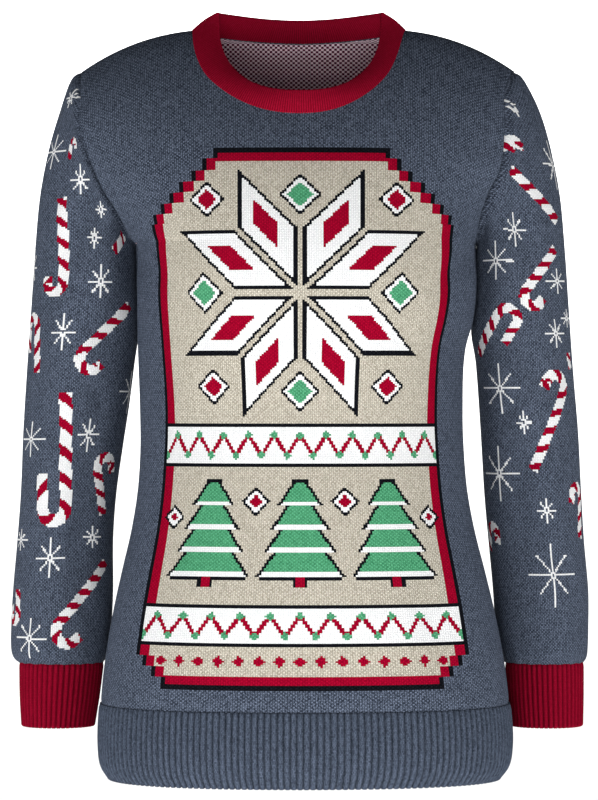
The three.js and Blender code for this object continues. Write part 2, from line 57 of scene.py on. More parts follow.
# %% Sizes of the cloth and of the cut
CLOTH_WALL = 2.2
RIB_WALL = 2.4
RIB_RELIEF = 1.6
NECKBAND_WALL = 3.2
NECKBAND_RELIEF = 0.6
HEM_SEAM = 594
HEM_END = 659
CUFF_SEAM = 560
CUFF_END = 616
ARMHOLE_TOP = 38
UNDERARM = 190
ARMHOLE_REACH = {"front": -48, "back": 52}
NECK_SHARE = 0.37
NECK_DROP = {"front": 80, "back": 10}
NECK_ROUNDNESS = {"front": 2.2, "back": 1.7}
FORWARD = {"front": -1, "back": 1}


# %% Tables of sections
def table(columns, *rows):
    """A table with named columns, and one row for each section."""
    return {name: np.array(column, float) for name, column in zip(columns.split(), zip(*rows))}


ARMHOLE = table(
    "turn x lean",
    (0, 191, -1.5),
    (45, 185, -6.5),
    (75, 185, -6.8),
    (100, 177.5, -3.2),
    (115, 168.5, -3.2),
    (130, 160, -1),
    (150, 154, 2),
    (180, 150, 5),
)
BODY_DEPTH = table(
    "drop front back",
    (0, 0, 0),
    (12, 17, 34),
    (30, 36, 55),
    (60, 62, 76),
    (100, 88, 90),
    (150, 108, 98),
    (210, 118, 99),
    (280, 108, 91),
    (350, 98, 87),
    (430, 102, 95),
    (510, 111, 109),
    (594, 116, 114),
    (640, 115, 113),
    (659, 107, 105),
)
BODY_WIDTH = table(
    "drop x lean",
    (190, 150, 5),
    (230, 149.5, 6),
    (256, 148, 4.7),
    (283, 144.2, 1.5),
    (336, 142, 1.2),
    (371, 142.3, 1.8),
    (407, 145, 2.2),
    (442, 151, 2.6),
    (477, 159.5, 3),
    (512, 167.5, 3.4),
    (560, 176, 4),
    (594, 179.5, 4.3),
    (632, 181, 4.6),
    (649, 178, 4.2),
    (659, 171, 3.6),
)
SLEEVE = table(
    "section out_x out_z out_lean in_x in_z in_lean y front back bend",
    (0, 191, -38, -1.5, 150, -190, 5, 0, 48, 52, 1),
    (1, 200, -47, -2, 153, -192, 5.5, 1, 52, 53, 0.7),
    (2, 212, -74, 0, 151.4, -204, 5.3, 8, 55, 56, 0.35),
    (3, 222, -107, 0, 149.9, -221, 5.2, 14, 57, 56, 0.1),
    (4, 230, -148, 0, 148.3, -241, 5.2, 18, 57, 55, 0),
    (5, 234.5, -195, 0, 147.1, -267, 4.4, 21, 55, 54, 0),
    (6, 238, -245, 0, 151, -294, 4.6, 23, 52, 52, 0),
    (7, 242, -301, 0, 154.8, -330, 3.7, 25, 49, 49, 0),
    (8, 246, -355, 0.6, 159, -368, 2, 27, 47, 47, 0),
    (9, 248.4, -407, 0.9, 163.3, -411, 0.3, 28, 45, 45, 0),
    (10, 251.5, -452, 0.6, 166.6, -452, 0.7, 30, 44, 44, 0),
    (11, 255.3, -495, 0.6, 168.6, -495, 2.7, 31, 43, 43, 0),
    (12, 256.3, -528, -0.2, 170.5, -528, 3, 32, 42, 42, 0),
    (13, 256, -548, -0.6, 173.5, -548, 3.5, 32, 41, 41, 0),
    (14, 254, -556, 0, 176, -556, 3.5, 32, 38.5, 38.5, 0),
    (15, 250.3, -560, 1, 178.5, -560, 3.5, 32, 35.5, 35.5, 0),
)
CUFF = table(
    "share out_x out_lean in_x in_lean reach",
    (0, 249.4, 1.3, 179.5, 4, 34.5),
    (0.5, 249.2, 1.5, 182, 3, 33.5),
    (1, 248.2, 2, 185.5, 2, 31.5),
)
CUFF_Y = 32


# %% Reading a table and pressing folds
def along(rows, column, at):
    """Values of a column at places along the first one, on a smooth curve through the rows."""
    key = next(iter(rows))
    places, values = rows[key], rows[column]
    slope = np.diff(values) / np.diff(places)
    tangent = np.concatenate([slope[:1], (slope[1:] + slope[:-1]) / 2, slope[-1:]])
    at = np.clip(at, places[0], places[-1])
    i = np.clip(np.searchsorted(places, at, side="right") - 1, 0, len(slope) - 1)
    span = places[i + 1] - places[i]
    t = (at - places[i]) / span
    rise = t * t * (3 - 2 * t)
    ends = t * (1 - t) ** 2 * tangent[i] + t * t * (t - 1) * tangent[i + 1]
    return values[i] * (1 - rise) + values[i + 1] * rise + span * ends


def smooth_step(start, end, at):
    """Goes smoothly from 0 at start to 1 at end."""
    t = np.clip((at - start) / (end - start), 0, 1)
    return t * t * (3 - 2 * t)


def pressed_in(folds, across_from, up_from):
    """How far the folds of a table press in, from the places across and up of each point."""
    total = 0
    for place, up, tilt, half_length, half_width, depth in folds:
        across, rise = across_from - place, up_from - up
        angle = math.radians(tilt)
        lengthwise = (rise * math.cos(angle) + across * math.sin(angle)) / half_length
        sideways = (across * math.cos(angle) - rise * math.sin(angle)) / half_width
        fade = np.clip(1 - lengthwise**2, 0, 1) ** 2
        total = total + depth * np.exp(-(sideways**2)) * fade
    return total


# %% [markdown]
# ## The form of the body
# Front and back are one oval section after another. Above the underarm the edge of a section
# runs along the armhole, and the rows drop with the slope of the shoulder. The function below
# takes whole arrays, because NumPy then places ninety thousand stitches at once.

# %% Points of the body
SHOULDER_SECTION_ANGLE = math.radians(62)
SECTION_SQUARENESS = 0.04
SHOULDER_FLAT_SHARE = 0.32
SHOULDER_CURVE = 2.4


def armhole_point(side, turn, reach):
    """Armhole seam at a turn from its top (0) to the underarm (pi)."""
    x = side * along(ARMHOLE, "x", np.degrees(turn)) + along(ARMHOLE, "lean", np.degrees(turn))
    middle, half = (ARMHOLE_TOP + UNDERARM) / 2, (UNDERARM - ARMHOLE_TOP) / 2
    return x, reach * np.sin(turn), half * np.cos(turn) - middle


def width_share(share, edge_angle):
    """Share of a section's half width that is reached at a share of its angle."""

    def reach(angle):
        return np.sin(angle) + SECTION_SQUARENESS * np.sin(3 * angle)

    return reach(share * edge_angle) / reach(edge_angle)


def body_point(face, side, drop, share):
    """Point of the body at a drop below the shoulder and a share of the way to its side."""
    turn = np.arccos(np.clip(1 - 2 * drop / UNDERARM, -1, 1))
    x, y, z = armhole_point(side, turn, ARMHOLE_REACH[face])
    below = drop >= UNDERARM
    side_x = side * along(BODY_WIDTH, "x", drop) + along(BODY_WIDTH, "lean", drop)
    x, y, z = np.where(below, side_x, x), np.where(below, 0, y), np.where(below, -drop, z)
    middle_y = FORWARD[face] * along(BODY_DEPTH, face, drop)
    chest = smooth_step(40, 110, drop)
    safe = np.where(np.abs(middle_y) < 1, FORWARD[face], middle_y)
    oval = np.where(chest > 0, np.arccos(np.clip(y / safe, 0, 1)), 0)
    edge_angle = SHOULDER_SECTION_ANGLE * (1 - chest) + oval * chest
    across = width_share(share, edge_angle)
    depth = (np.cos(share * edge_angle) - np.cos(edge_angle)) / (1 - np.cos(edge_angle))
    bend = np.clip((across - SHOULDER_FLAT_SHARE) / (1 - SHOULDER_FLAT_SHARE), 0, 1)
    place_z = -drop + (z + drop) * bend**SHOULDER_CURVE
    return np.stack([x * across, y + (middle_y - y) * depth, place_z], axis=-1)


def outward(point_at, a, b, flip):
    """Unit normals of a surface, from small steps along its two measures."""
    step = 0.01
    down = point_at(a + step, b) - point_at(a - step, b)
    aside = point_at(a, b + step / 10) - point_at(a, b - step / 10)
    normal = np.cross(down, aside) * np.asarray(flip)[..., None]
    return normal / np.maximum(np.linalg.norm(normal, axis=-1, keepdims=True), 1e-12)


# %% [markdown]
# ## From a grid of stitches to a mesh
# A grid of points becomes quads, one a stitch. Stitches past a cut edge are gathered on that
# edge, and merging by distance then deletes them, which is what scissors do to real knit. The
# inside is a coarser copy of the same grid, moved in by the wall, with a rim round the edge.


# %% Cloth from a grid
def grid_faces(rows, columns, first=0, flip=False):
    """Quads between neighbours of a grid whose rows run down and columns to the right."""
    index = first + np.arange(rows * columns).reshape(rows, columns)
    corners = [index[:-1, :-1], index[1:, :-1], index[1:, 1:], index[:-1, 1:]]
    if flip:
        corners.reverse()
    return np.stack([corner.ravel() for corner in corners], axis=-1)


def rim_faces(fine, coarse, kept):
    """Triangles from a fine edge to the kept places of it on the coarse edge."""
    faces = []
    for k in range(len(kept) - 1):
        start, end = kept[k], kept[k + 1]
        middle = (start + end) // 2
        for i in range(start, middle):
            faces.append((fine[i], fine[i + 1], coarse[k]))
        faces.append((fine[middle], coarse[k + 1], coarse[k]))
        for i in range(middle, end):
            faces.append((fine[i], fine[i + 1], coarse[k + 1]))
    return faces


def kept_places(count, step):
    return np.unique(np.append(np.arange(0, count, step), count - 1))


def make_mesh(name, points, faces, uv, slots, materials):
    """A mesh object in metres, with stitch counts as its UV map and a yarn for each face."""
    mesh = bpy.data.meshes.new(name)
    mesh.from_pydata(points * MM, [], [tuple(face) for face in faces])
    layer = mesh.uv_layers.new(name="stitches")
    corners = np.empty(len(mesh.loops), dtype=np.int32)
    mesh.loops.foreach_get("vertex_index", corners)
    layer.data.foreach_set("uv", uv[corners].astype(np.float32).ravel())
    for material in materials:
        mesh.materials.append(material)
    mesh.polygons.foreach_set("material_index", np.asarray(slots, dtype=np.int32))
    mesh.polygons.foreach_set("use_smooth", np.ones(len(mesh.polygons), dtype=bool))
    shape = bmesh.new()
    shape.from_mesh(mesh)
    bmesh.ops.remove_doubles(shape, verts=shape.verts, dist=0.00001)
    bmesh.ops.dissolve_degenerate(shape, edges=shape.edges, dist=0.000001)
    shape.to_mesh(mesh)
    shape.free()
    piece = bpy.data.objects.new(name, mesh)
    bpy.context.collection.objects.link(piece)
    print(name, len(mesh.polygons), "faces")
    return piece


def cloth(name, points, normals, wall, yarns, materials, closed, stitch=(1, 1)):
    """A piece of knit with an outer face for each stitch and a coarser inside."""
    rows, columns = points.shape[:2]
    down, aside = kept_places(rows, 6), kept_places(columns, 3)
    inner = (points - normals * wall)[np.ix_(down, aside)]
    count = rows * columns
    counts = np.stack(np.meshgrid(np.arange(columns), np.arange(rows)), axis=-1) * np.array(stitch)
    all_points = np.concatenate([points.reshape(-1, 3), inner.reshape(-1, 3)])
    all_counts = np.concatenate([counts.reshape(-1, 2), counts[np.ix_(down, aside)].reshape(-1, 2)])
    faces = [tuple(face) for face in grid_faces(rows, columns)]
    inside = [tuple(face) for face in grid_faces(len(down), len(aside), count, flip=True)]
    outer_index = np.arange(count).reshape(rows, columns)
    inner_index = count + np.arange(len(down) * len(aside)).reshape(len(down), len(aside))
    rim = rim_faces(outer_index[0], inner_index[0], aside)
    rim += [face[::-1] for face in rim_faces(outer_index[-1], inner_index[-1], aside)]
    if not closed:
        rim += [face[::-1] for face in rim_faces(outer_index[:, 0], inner_index[:, 0], down)]
        rim += rim_faces(outer_index[:, -1], inner_index[:, -1], down)
    reverse = len(materials) - 1
    slots = list(yarns.ravel()) + [reverse] * len(inside) + [0] * len(rim)
    return make_mesh(name, all_points, faces + inside + rim, all_counts, slots, materials)


# %% [markdown]
# ## The yarns
# The sweater is knit in acrylic yarn. It is spun from fibres of slightly different blues, so a
# stitch is never quite the tone of its neighbour. Loose fibres on its surface give a soft light
# edge, which Blender's sheen does. A plain knit stitch shows as a small V, so the bump of each
# material is drawn from the stitch counts in the UV map. One stitch is 1.9 by 1.5 mm.


# %% Helpers for materials
def linear(code):
    """Linear colour from an sRGB hex code."""
    parts = [int(code[i : i + 2], 16) / 255 for i in (1, 3, 5)]
    return [p / 12.92 if p <= 0.04045 else ((p + 0.055) / 1.055) ** 2.4 for p in parts] + [1]


def add(tree, kind, links, **settings):
    """Adds a node with its settings, and fills its inputs with numbers or with other outputs."""
    node = tree.nodes.new(kind)
    for name, value in settings.items():
        setattr(node, name, value)
    for name, value in links.items():
        if isinstance(value, bpy.types.NodeSocket):
            tree.links.new(value, node.inputs[name])
        else:
            node.inputs[name].default_value = value
    return node


# %% Yarn material
STITCH_BUMP = 0.0008
LEG_SLANT = 0.55
GROOVE_LIGHT = 0.35
CHECKER = 0.45


def yarn(name, dark, light, hollow=0.5, speckle=0.5, haze=0.1, rib=0, checker=CHECKER):
    """Knit in one yarn. Each V has two slanted legs, and each leg is a length of spun fibre."""
    material = bpy.data.materials.new(name)
    material.use_nodes = True
    tree = material.node_tree
    shader = tree.nodes["Principled BSDF"]
    shader.inputs["Roughness"].default_value = 0.9
    shader.inputs["Specular IOR Level"].default_value = haze * 0.5
    shader.inputs["Sheen Weight"].default_value = haze
    shader.inputs["Sheen Roughness"].default_value = 0.5
    shader.inputs["Sheen Tint"].default_value = linear(light)
    counts = add(tree, "ShaderNodeUVMap", {}, uv_map="stitches")
    place = add(tree, "ShaderNodeSeparateXYZ", {"Vector": counts.outputs[0]})
    u, v = place.outputs["X"], place.outputs["Y"]

    def value(operation, first, second=0.0):
        return add(tree, "ShaderNodeMath", {0: first, 1: second}, operation=operation).outputs[0]

    from_middle = value("ABSOLUTE", value("SUBTRACT", value("FRACT", u), 0.5))
    wave = value("SINE", value("MULTIPLY", from_middle, 2 * math.pi))
    split = value("ADD", value("MULTIPLY", wave, 0.4), 0.6)
    mound = value("POWER", value("COSINE", value("MULTIPLY", from_middle, math.pi)), 0.5)
    leg = value("MULTIPLY", mound, split)
    slanted = value("ADD", v, value("MULTIPLY", from_middle, 2 * LEG_SLANT))
    strand = value("ABSOLUTE", value("SINE", value("MULTIPLY", slanted, math.pi)))
    height = value("MULTIPLY", leg, value("ADD", value("MULTIPLY", strand, 0.7), 0.3))
    stitch = add(
        tree,
        "ShaderNodeCombineXYZ",
        {"X": value("FLOOR", value("MULTIPLY", u, 2.0)), "Y": value("FLOOR", slanted)},
    )
    each = add(tree, "ShaderNodeTexWhiteNoise", {"Vector": stitch.outputs[0]}, noise_dimensions="2D")
    place = add(tree, "ShaderNodeTexCoord", {}).outputs["Object"]
    fibres = add(tree, "ShaderNodeTexNoise", {"Vector": place, "Scale": 1600.0, "Detail": 2.0})
    tone = value("ADD", value("MULTIPLY", each.outputs["Value"], speckle), 0.5 - speckle / 2)
    tone = value("ADD", tone, value("MULTIPLY", value("SUBTRACT", fibres.outputs["Fac"], 0.5), 0.8))
    # The backing pulls every second stitch in. The tone is painted darker on those and lighter on the
    # others, in turns like a checkerboard: painted shade of the sunk stitches
    turns = value("FRACT", value("MULTIPLY", value("ADD", value("FLOOR", u), value("FLOOR", v)), 0.5))
    tone = value("ADD", tone, value("MULTIPLY", value("SUBTRACT", turns, 0.25), 2 * checker))
    spun = add(tree, "ShaderNodeMix", {"Factor": tone}, data_type="RGBA")
    # The colour sockets of Mix are its seventh and eighth
    spun.inputs[6].default_value = linear(dark)
    spun.inputs[7].default_value = linear(light)
    # The colour is darkened where the stitch is low, between its legs and between its rows: painted shade
    # in the hollows of the knit. The setting says how much light the hollows keep.
    shade = value("ADD", value("MULTIPLY", height, 1 - hollow), hollow)
    if rib:
        # A purl column sinks between two cords, where hardly any light gets in
        cord = value("ABSOLUTE", value("COSINE", value("MULTIPLY", u, math.pi / rib)))
        cord_light = value("ADD", value("MULTIPLY", cord, 1 - GROOVE_LIGHT), GROOVE_LIGHT)
        shade = value("MULTIPLY", shade, cord_light)
    shaded = add(tree, "ShaderNodeVectorMath", {0: spun.outputs[2], "Scale": shade}, operation="SCALE")
    tree.links.new(shaded.outputs[0], shader.inputs["Base Color"])
    relief = add(tree, "ShaderNodeBump", {"Strength": 1.0, "Distance": STITCH_BUMP, "Height": height})
    tree.links.new(relief.outputs[0], shader.inputs["Normal"])
    return material


# %% The colours of yarn
slate = yarn("slate melange acrylic knit", "#333b4a", "#7f8ba1", hollow=0.05, speckle=0.8)
white = yarn("white acrylic knit", "#e9ebec", "#ffffff", hollow=0.72)
oatmeal = yarn("oatmeal acrylic knit", "#b3ab9a", "#ece5d5", hollow=0.4, speckle=0.8)
red = yarn("red acrylic knit", "#8c0022", "#b30a30", hollow=0.6, haze=0.03)
green = yarn("green acrylic knit", "#35835a", "#66bb8c", hollow=0.66)
black = yarn("black acrylic knit", "#07080b", "#1c1e25", haze=0.04)
print("yarns:", [material.name for material in (slate, white, oatmeal, red, green, black)])

# %% [markdown]
# The inside of a jacquard shows the yarns that aren't in use in front. A birdseye backing
# brings them up in turn, so the inside is a fine checker of light and dark specks. It is
# a plain pattern of the stitch counts: light where row and column add up to an even number.


# %% The inside of the jacquard
def birdseye(name, dark, light):
    """The reverse of a jacquard knit: specks of each yarn in turn."""
    material = bpy.data.materials.new(name)
    material.use_nodes = True
    tree = material.node_tree
    shader = tree.nodes["Principled BSDF"]
    shader.inputs["Roughness"].default_value = 0.95
    shader.inputs["Specular IOR Level"].default_value = 0.15
    counts = add(tree, "ShaderNodeUVMap", {}, uv_map="stitches")
    specks = add(
        tree,
        "ShaderNodeTexChecker",
        {"Vector": counts.outputs[0], "Color1": linear(dark), "Color2": linear(light), "Scale": 0.8},
    )
    tree.links.new(specks.outputs["Color"], shader.inputs["Base Color"])
    relief = add(
        tree, "ShaderNodeBump", {"Strength": 1.0, "Distance": 0.0005, "Height": specks.outputs["Fac"]}
    )
    tree.links.new(relief.outputs[0], shader.inputs["Normal"])
    return material


reverse = birdseye("birdseye jacquard reverse", "#5c1539", "#f6e0e9")
YARNS = {"slate": 0, "white": 1, "oatmeal": 2, "red": 3, "green": 4, "black": 5}
jacquard = [slate, white, oatmeal, red, green, black, reverse]

# %% [markdown]
# ## The front chart
# A knitter reads a chart: one square, one stitch. This chart is worked out from simple forms
# instead: a light panel with a large eight-petalled star, fir trees and borders, all of them
# traditional winter motifs. Each form is a test on the place of a stitch, and later tests
# knit over earlier ones.


# %% Forms of the chart
def zigzag(across, period):
    """Goes from 0 to 1 and back in each period."""
    return 1 - np.abs((across / period) % 1 * 2 - 1)


def knit_star(chart, across, up, reach, gap=2.8, line=3.2):
    """A star with white petals, a black outline and a red heart in each petal."""
    longer, shorter = np.maximum(np.abs(across), np.abs(up)), np.minimum(np.abs(across), np.abs(up))
    p, q, side = longer - shorter, shorter, reach / 2
    nearest, farthest = np.minimum(p, q), np.maximum(p, q)
    chart[(nearest > gap) & (farthest < side)] = YARNS["black"]
    chart[(nearest > gap + line) & (farthest < side - line)] = YARNS["white"]
    chart[(nearest > 0.36 * side) & (farthest < 0.76 * side)] = YARNS["red"]


def knit_diamond(chart, across, up, reach, heart="red"):
    """A small diamond in red or green, with a white edge and a black outline."""
    far = np.abs(across) + np.abs(up)
    chart[far < reach + 3] = YARNS["black"]
    chart[far < reach] = YARNS["white"]
    chart[far < reach - 4] = YARNS[heart]


def knit_fir(chart, across, below, tiers=4, tier=20.0):
    """A fir tree in tiers, each with snow along its lower edge, on a short trunk."""
    height = tiers * tier
    step = (below % tier) / tier
    reached = np.clip(below, 0, height - 0.1)
    half = 4 + 5.5 * np.floor(reached / tier) + 14 * (reached % tier) / tier
    tree = (below > 0) & (below < height) & (np.abs(across) < half)
    outline = (below > -3) & (below < height + 3) & (np.abs(across) < half + 3)
    chart[outline & ((below < height) | (np.abs(across) < half))] = YARNS["black"]
    chart[tree] = YARNS["green"]
    chart[tree & (step > 0.78)] = YARNS["white"]
    trunk = (below > height) & (below < height + 9)
    chart[trunk & (np.abs(across) < 6.5)] = YARNS["black"]
    chart[trunk & (np.abs(across) < 3.5)] = YARNS["red"]


def knit_border(chart, across, below, inside, height=36.0, period=24.0):
    """A white border with a red zigzag, green dots in its hollows and black edges."""
    band = inside & (below > 0) & (below < height)
    chart[band] = YARNS["white"]
    chart[band & ((below < 3) | (below > height - 3))] = YARNS["black"]
    wave = height / 2 + (height / 2 - 9) * (2 * zigzag(across, period) - 1)
    chart[band & (np.abs(below - wave) < 3.2)] = YARNS["red"]
    for shift, middle in ((0, 9.5), (period / 2, height - 9.5)):
        far = np.abs((across + shift + period / 2) % period - period / 2) + np.abs(below - middle)
        chart[band & (far < 4)] = YARNS["green"]


PANEL_TOP = 112
PANEL_END = 574
PANEL_STEP = 9


def front_chart(across, drop):
    """The yarn of each stitch of the front, from its place in millimetres on the cloth."""
    chart = np.zeros(across.shape, dtype=int)
    from_top = np.ceil((drop - PANEL_TOP) / PANEL_STEP) * PANEL_STEP
    from_end = np.ceil((PANEL_END - drop) / PANEL_STEP) * PANEL_STEP
    half = np.minimum(136, np.minimum(64 + 1.1 * from_top, 100 + 1.1 * from_end))
    panel = (np.abs(across) < half) & (drop > PANEL_TOP) & (drop < PANEL_END)
    chart[panel] = YARNS["black"]
    inside = (np.abs(across) < half - 3.5) & (drop > PANEL_TOP + 3.2) & (drop < PANEL_END - 3.2)
    chart[inside] = YARNS["red"]
    field = (np.abs(across) < half - 12) & (drop > PANEL_TOP + 11) & (drop < PANEL_END - 11)
    chart[field] = YARNS["oatmeal"]
    middle = 236
    knit_star(chart, across, drop - middle, 106)
    for side in (-1, 1):
        knit_diamond(chart, across - side * 84, drop - middle, 15, "green")
        knit_diamond(chart, across, drop - middle - side * 84, 15, "green")
        for end in (-1, 1):
            knit_diamond(chart, across - side * 80, drop - middle - end * 80, 13)
    knit_border(chart, across, drop - 348, inside)
    for place in (-80, 0, 80):
        knit_fir(chart, across - place, drop - 398)
    for place in (-40, 40):
        knit_diamond(chart, across - place, drop - 414, 10)
    for place in (-118, 118):
        knit_diamond(chart, across - place, drop - 428, 8)
    knit_border(chart, across, drop - 502, inside)
    dots = np.abs((across + 8) % 16 - 8) + np.abs(drop - 550)
    chart[field & (dots < 5)] = YARNS["red"]
    return chart


# %% [markdown]
# ## Front and back
# The body is knit in rows of stitches 1.5 mm high. Up to the underarm the columns spread with
# the body, as knit does when it is worn. Above it they keep their width and are cut at the
# armhole. The largest folds are soft troughs at the waist and below the arms.

# %% Stitches of the body
WALES = 110
WALE = 1.9
COURSE = 1.485
# Folds: place across, place up, tilt in degrees, half length, half width and depth
BODY_FOLDS = {
    "front": [
        (132, -285, 6, 105, 16, 3.5),
        (-126, -300, -8, 95, 15, 3),
        (138, -212, 48, 42, 11, 3),
        (-140, -206, -50, 44, 11, 3),
        (118, -520, -18, 80, 18, 2.5),
        (96, -250, 24, 70, 9, 1.2),
        (-100, -236, -30, 60, 8, 1.2),
        (-108, -470, 14, 70, 12, 1.4),
        (60, -555, 80, 60, 7, 0.7),
        (-40, -548, 96, 55, 6, 0.6),
    ],
    "back": [
        (10, -330, 84, 110, 14, 3.5),
        (-20, -372, 97, 95, 13, 3),
        (120, -250, 20, 80, 15, 3),
        (-124, -262, -16, 88, 15, 3),
        (30, -292, 88, 80, 8, 1.4),
        (-30, -408, 92, 70, 8, 1.2),
        (70, -480, 30, 60, 10, 1),
    ],
}
SEAM_TUCK = 0.8
SEAM_WIDTH = 2.6


def neck_drop(face, share):
    """Drop of the neckline at a share of the way to the side, and 0 beyond it."""
    across = width_share(share, SHOULDER_SECTION_ANGLE) / width_share(NECK_SHARE, SHOULDER_SECTION_ANGLE)
    roundness = NECK_ROUNDNESS[face]
    return NECK_DROP[face] * np.clip(1 - np.clip(across, 0, 1) ** roundness, 0, 1) ** (1 / roundness)


def wale_shares(face, side, drops):
    """Share of the way to the side for each column of stitches, at each drop."""
    shares = np.linspace(0, 1, 81)
    lines = body_point(face, side, drops[:, None], shares[None, :])
    lengths = np.linalg.norm(np.diff(lines, axis=1), axis=-1)
    reached = np.concatenate([np.zeros((len(drops), 1)), np.cumsum(lengths, axis=1)], axis=1)
    underarm = np.interp(UNDERARM, drops, reached[:, -1])
    wale = np.where(drops < UNDERARM, underarm, reached[:, -1]) / WALES
    place = np.arange(WALES + 1)[None, :] * wale[:, None]
    found = np.stack([np.interp(place[i], reached[i], shares) for i in range(len(drops))])
    return found, np.clip(reached[:, -1:] - place, 0, None)


def half_body(face, side):
    """Points, normals and distance to the side seam of one half, from its middle to its side."""
    rows = round(HEM_SEAM / COURSE)
    drops = np.linspace(0, HEM_SEAM, rows + 1)
    shares, to_side = wale_shares(face, side, drops)
    cut = neck_drop(face, shares)
    grid = np.repeat(drops[:, None], WALES + 1, axis=1)
    for j in range(WALES + 1):
        above = np.nonzero(grid[:, j] < cut[:, j])[0]
        if len(above):
            last = above[-1]
            over = cut[last, j] - grid[last, j]
            under = grid[last + 1, j] - cut[last + 1, j]
            place = last + over / (over + under)
            edge = np.interp(place, np.arange(rows + 1), drops)
            shares[: last + 1, j] = np.interp(place, np.arange(rows + 1), shares[:, j])
            grid[: last + 1, j] = edge
    points = body_point(face, side, grid, shares)
    safe_drop, safe_share = np.clip(grid, 0.5, HEM_SEAM - 0.5), np.clip(shares, 0.004, 0.996)

    def at(drop, share):
        return body_point(face, side, drop, share)

    normals = outward(at, safe_drop, safe_share, side * -FORWARD[face])
    shoulder = np.where(shares > NECK_SHARE, grid, HEM_SEAM)
    to_seam = np.minimum(np.minimum(to_side, shoulder), HEM_SEAM - grid + 0 * shares)
    return points, normals, to_seam


def body_piece(face, name):
    """One panel of the body, from side to side, seen from outside."""
    halves = {side: half_body(face, side) for side in (-1, 1)}
    first, second = (-1, 1) if face == "front" else (1, -1)

    def join(part):
        return np.concatenate([halves[first][part][:, :0:-1], halves[second][part]], axis=1)

    points, normals, to_seam = join(0), join(1), join(2)
    folds = pressed_in(BODY_FOLDS[face], points[..., 0], points[..., 2])
    calm = smooth_step(0, 30, to_seam)
    tuck = SEAM_TUCK * np.exp(-((to_seam / SEAM_WIDTH) ** 2))
    points = points - normals * (folds * calm + tuck)[..., None]
    columns = np.arange(2 * WALES) + 0.5 - WALES
    rows = np.arange(points.shape[0] - 1) + 0.5
    across, drop = np.meshgrid(columns * WALE, rows * COURSE)
    yarns = front_chart(across, drop) if face == "front" else np.zeros(across.shape, dtype=int)
    piece = cloth(name, points, normals, CLOTH_WALL, yarns, jacquard, closed=False)
    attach(piece, "root")
    return piece


front = body_piece("front", "front_of_body")
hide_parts("front_panel")
back = body_piece("back", "back_of_body")
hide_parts("back_panel")

# %% [markdown]
# ## Sleeves
# A sleeve is one piece with a rounded cap, closed below the arm. Its sections turn from the
# slanted oval of the armhole to level ovals on the forearm. Rows are counted up from the cuff,
# so they stay level, and the cap is cut where they meet the armhole, as in the real piece.


# %% Points of a sleeve
def sleeve_point(side, section, turn):
    """Point at a place along the sections and a turn from the outer edge over the front."""

    def value(column):
        return along(SLEEVE, column, section)

    share = (1 + np.cos(turn)) / 2
    out_x, in_x = side * value("out_x") + value("out_lean"), side * value("in_x") + value("in_lean")
    seam_x = armhole_point(side, np.arccos(np.clip(np.cos(turn), -1, 1)), 0)[0]
    top_x, bottom_x = armhole_point(side, 0.0, 0)[0], armhole_point(side, math.pi, 0)[0]
    bend = value("bend") * (seam_x - (bottom_x + (top_x - bottom_x) * share))
    x = in_x + (out_x - in_x) * share + bend
    z = value("in_z") + (value("out_z") - value("in_z")) * share
    reach = np.where(np.sin(turn) > 0, value("front"), value("back"))
    return np.stack([x, value("y") - np.sin(turn) * reach, z], axis=-1)


# %% [markdown]
# The sleeves carry striped canes and snowflakes, scattered at a slant. Each is a form again:
# a cane is a straight shaft that goes over into half a ring, striped along its length, and a
# snowflake is eight thin arms that meet in the middle. Their places are read from the photo.

# %% Motifs of the sleeves
SLEEVE_WALES = 168
SLEEVE_RADIUS = 46
# Place of each snowflake in the front view, and its reach across and up
FLAKES = {
    -1: [
        (-215, -110, 11, 15),
        (-186, -136, 11, 13),
        (-197, -64, 7, 8),
        (-167, -162, 6, 7),
        (-178, -186, 7, 9),
        (-173, -224, 11, 15),
        (-207, -268, 11, 16),
        (-236, -211, 12, 17),
        (-237, -362, 11, 15),
        (-183, -358, 10, 15),
        (-150, -320, 15, 19),
        (-246, -451, 8, 10),
        (-181, -448, 7, 10),
        (-220, -466, 14, 18),
        (-238, -537, 14, 18),
    ],
    1: [
        (186, -70, 8, 11),
        (222, -121, 11, 21),
        (187, -179, 12, 15),
        (171, -206, 13, 17),
        (225, -223, 9, 11),
        (235, -255, 7, 8),
        (224, -269, 9, 13),
        (174, -317, 16, 22),
        (196, -347, 7, 10),
        (175, -392, 14, 24),
        (217, -424, 9, 11),
        (222, -481, 22, 28),
    ],
}
# Free end of each cane and the place where its hook starts, in the front view, then the radius
# of the hook (above 0 turns right), the length past it, the width and the length of a stripe
CANES = {
    -1: [
        (-207, -151, -207, -224, 8, 6, 9.5, 18),
        (-149, -244, -188, -283, -10.5, 4, 9.5, 18),
        (-231, -303, -231, -262, -8, 22, 9, 18),
        (-205, -321, -205, -420, 12, 30, 12, 24),
        (-173, -428, -176, -388, 8, 8, 9, 16),
        (-172, -470, -211, -522, -11.5, 4, 9.5, 16),
        (-197, -118, -194, -106, 4, 3, 5, 12),
        (-249, -494, -249, -515, 7, 8, 9, 16),
        (-161, -198, -152, -183, 0, 0, 9, 16),
    ],
    1: [
        (180, -112, 180, -104, 4, 3, 8, 16),
        (180, -127, 225, -171, 0, 0, 10, 18),
        (223, -195, 197, -231, -8.5, 6, 9, 16),
        (158, -288, 174, -250, 9, 22, 8.5, 16),
        (204, -389, 231, -320, -10, 7, 10, 18),
        (168, -461, 168, -446, 8, 6, 9, 16),
        (247, -449, 247, -413, -8, 8, 9, 16),
        (236, -286, 238, -300, 0, 0, 8, 14),
    ],
}


